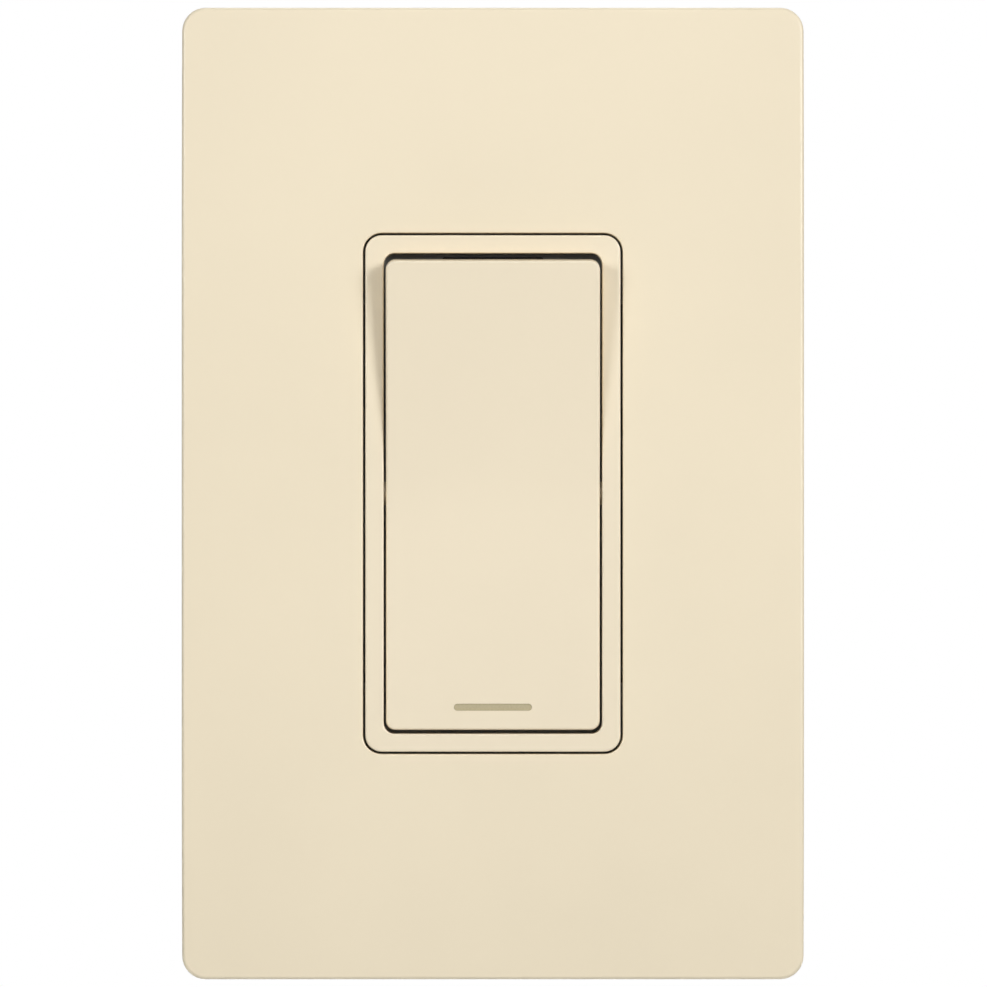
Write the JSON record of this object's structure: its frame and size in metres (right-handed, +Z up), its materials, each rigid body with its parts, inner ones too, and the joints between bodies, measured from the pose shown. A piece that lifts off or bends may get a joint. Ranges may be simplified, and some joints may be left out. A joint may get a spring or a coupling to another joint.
{
  "type": "toggle wall switch",
  "caption": "Flush wall switch with a wide rocking paddle in a slim bezel, a curved clip-on wall plate, a metal strap, a housing with screw terminals and working contacts.",
  "frame": {"origin": "midway between the two box screws, on the plane of the finished wall", "axes": "+X to the right and +Z up as the user faces the switch; the switch faces -Y and the box screws point along +Y into the wall"},
  "size_m": [0.0798, 0.035, 0.1248],
  "materials": {
    "plate_plastic": "moulded thermoplastic, light almond, satin",
    "moulded_plastic": "moulded thermoplastic, light almond, satin",
    "painted_screw": "steel screw with an almond painted head",
    "zinc_steel": "zinc-plated steel",
    "fibre": "vulcanised fibre sheet",
    "green_screw": "green dyed zinc plate",
    "elastomer": "soft elastomer",
    "acetal": "natural acetal",
    "spring_steel": "drawn spring wire",
    "brass_strip": "rolled brass strip",
    "brass_screw": "brass-plated screw",
    "silver": "silver alloy contact button",
    "dark_plastic": "moulded glass-filled thermoplastic"
  },
  "bodies": {
    "device": {"sub_plate": "moulded_plastic", "sub_plate_screws": "painted_screw", "strap": "zinc_steel", "mounting_screws": "zinc_steel", "screw_retainers": "fibre", "bezel": "moulded_plastic", "paddle_bumpers": "elastomer", "assembly_rivets": "zinc_steel", "common_terminal": "brass_strip", "load_terminal": "brass_strip", "fixed_contact": "silver", "housing": "dark_plastic", "mechanism_cover": "dark_plastic"},
    "cover_plate": {"wall_plate": "plate_plastic"},
    "rocker": {"paddle": "moulded_plastic", "plunger_spring": "spring_steel"},
    "plunger": {"plunger": "acetal"},
    "bridge": {"contact_bridge": "brass_strip", "moving_contact": "silver"},
    "line_screw": {"line_screw": "brass_screw", "line_clamp": "brass_strip"},
    "load_screw": {"load_screw": "brass_screw", "load_clamp": "brass_strip"},
    "ground_screw": {"ground_screw": "green_screw"}
  },
  "joints": [
    {"name": "paddle_rock", "type": "hinge", "parent": "device", "child": "rocker", "pos_m": [0, -0.0045, 0], "axis": [-1, 0, 0], "range_deg": [0, 7]},
    {"name": "bridge_tilt", "type": "hinge", "parent": "device", "child": "bridge", "pos_m": [0, 0.01687, 0], "axis": [1, 0, 0], "range_deg": [0, 15]},
    {"name": "plunger_slide", "type": "slide", "parent": "rocker", "child": "plunger", "axis": [0, -0.9981, -0.061], "range_m": [0, 0.0015], "stiffness_N_per_m": 400, "springref_m": -0.004, "deforming": ["plunger_spring"]},
    {"name": "wall_plate_pull", "type": "slide", "parent": "device", "child": "cover_plate", "axis": [0, -1, 0], "range_m": [0, 0.025]},
    {"name": "line_screw_back_out", "type": "slide", "parent": "device", "child": "line_screw", "axis": [1, 0, 0], "range_m": [0, 0.0024]},
    {"name": "load_screw_back_out", "type": "slide", "parent": "device", "child": "load_screw", "axis": [1, 0, 0], "range_m": [0, 0.0024]},
    {"name": "ground_screw_back_out", "type": "slide", "parent": "device", "child": "ground_screw", "axis": [-1, 0, 0], "range_m": [0, 0.0024]}
  ],
  "couplings": [
    {"joint": "bridge_tilt", "follows": "paddle_rock", "ratio": 2.1429}
  ]
}
